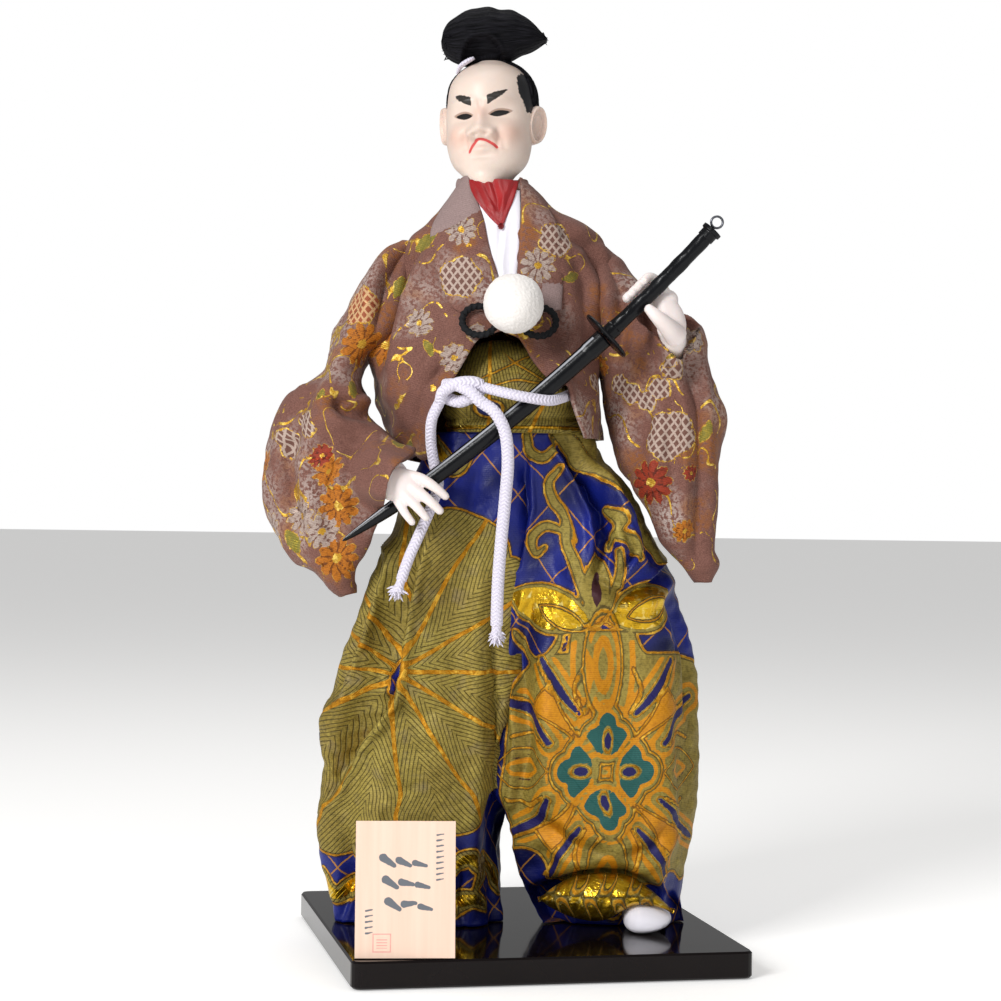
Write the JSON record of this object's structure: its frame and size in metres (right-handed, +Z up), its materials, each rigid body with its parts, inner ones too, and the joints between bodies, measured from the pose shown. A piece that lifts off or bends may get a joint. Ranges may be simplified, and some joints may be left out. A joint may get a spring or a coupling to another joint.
{
  "type": "samurai doll",
  "caption": "Dressed samurai display doll in brocade jacket and wide trousers, sword held across the body, standing on a black lacquered square board behind a small leaning wooden plaque.",
  "frame": {"origin": "centre of the board's underside", "axes": "+Z up, -Y towards the board's front edge, where the plaque stands, +X to the right of a viewer who faces the front edge"},
  "size_m": [0.1416, 0.12, 0.2964],
  "materials": {
    "black_lacquer": "mirror gloss lacquer",
    "plaque_wood": "bare planed, with ink strokes",
    "doll_skin": "satin white doll paint",
    "hair_fibre": "combed silky fibre",
    "jacket_brocade": "woven brocade with metallic thread",
    "trouser_brocade": "woven brocade with metallic thread",
    "white_cloth": "matt",
    "red_satin": "satin",
    "white_cord": "braided",
    "black_cord": "twisted",
    "white_pile": "short soft pile",
    "black_plastic": "gloss moulded",
    "ring_metal": "wire"
  },
  "bodies": {
    "root": {"base_board": "black_lacquer", "name_plaque": "plaque_wood", "hakama_trousers": "trouser_brocade", "left_foot": "white_cloth", "waist_sash": "trouser_brocade", "jacket": "jacket_brocade", "right_lapel": "jacket_brocade", "left_lapel": "jacket_brocade", "white_collar": "white_cloth", "red_collar": "red_satin", "right_sleeve": "jacket_brocade", "left_sleeve": "jacket_brocade", "head": "doll_skin", "back_hair": "hair_fibre", "topknot": "hair_fibre", "right_hand": "doll_skin", "left_hand": "doll_skin", "scabbard": "black_plastic", "sword_guard": "black_plastic", "sword_hilt": "black_plastic", "pommel_ring": "ring_metal", "cord_knot": "white_cord", "waist_cord": "white_cord", "long_cord_end": "white_cord", "short_cord_end": "white_cord", "breast_ball": "white_pile", "bow_loop_right": "black_cord", "bow_loop_left": "black_cord"}
  },
  "joints": []
}
